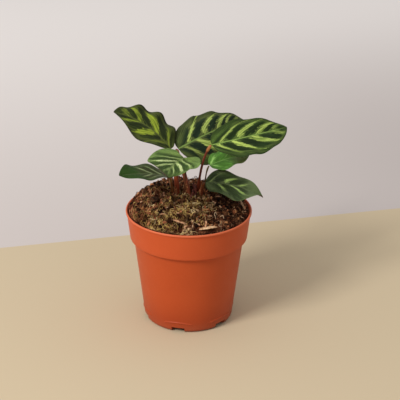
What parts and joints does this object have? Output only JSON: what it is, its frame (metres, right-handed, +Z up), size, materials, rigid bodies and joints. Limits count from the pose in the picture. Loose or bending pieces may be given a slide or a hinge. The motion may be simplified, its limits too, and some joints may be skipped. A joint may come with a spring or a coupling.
{
  "type": "potted calathea",
  "caption": "Young prayer plant with patterned oval leaves on slim red-brown stalks, growing from mounded potting mix in a tapered plastic nursery pot with a collar and drain notches.",
  "frame": {"origin": "centre of the pot's flat floor, on the surface that the pot stands on", "axes": "+Z up along the pot's axis, +X to the right and -Y towards the viewer of the picture"},
  "size_m": [0.1481, 0.1275, 0.1823],
  "materials": {
    "terracotta_plastic": "satin",
    "potting_mix": "matte",
    "leaf": "satin",
    "petiole": "satin",
    "bark": "matte"
  },
  "bodies": {
    "root": {"pot": "terracotta_plastic", "soil": "potting_mix", "leaf_a": "leaf", "leaf_b": "leaf", "leaf_c": "leaf", "leaf_d": "leaf", "leaf_e": "leaf", "leaf_f": "leaf", "leaf_g": "leaf", "petiole_a": "petiole", "petiole_b": "petiole", "petiole_c": "petiole", "petiole_d": "petiole", "petiole_e": "petiole", "petiole_f": "petiole", "petiole_g": "petiole", "wood_stick": "bark", "wood_chip": "bark"}
  },
  "joints": []
}
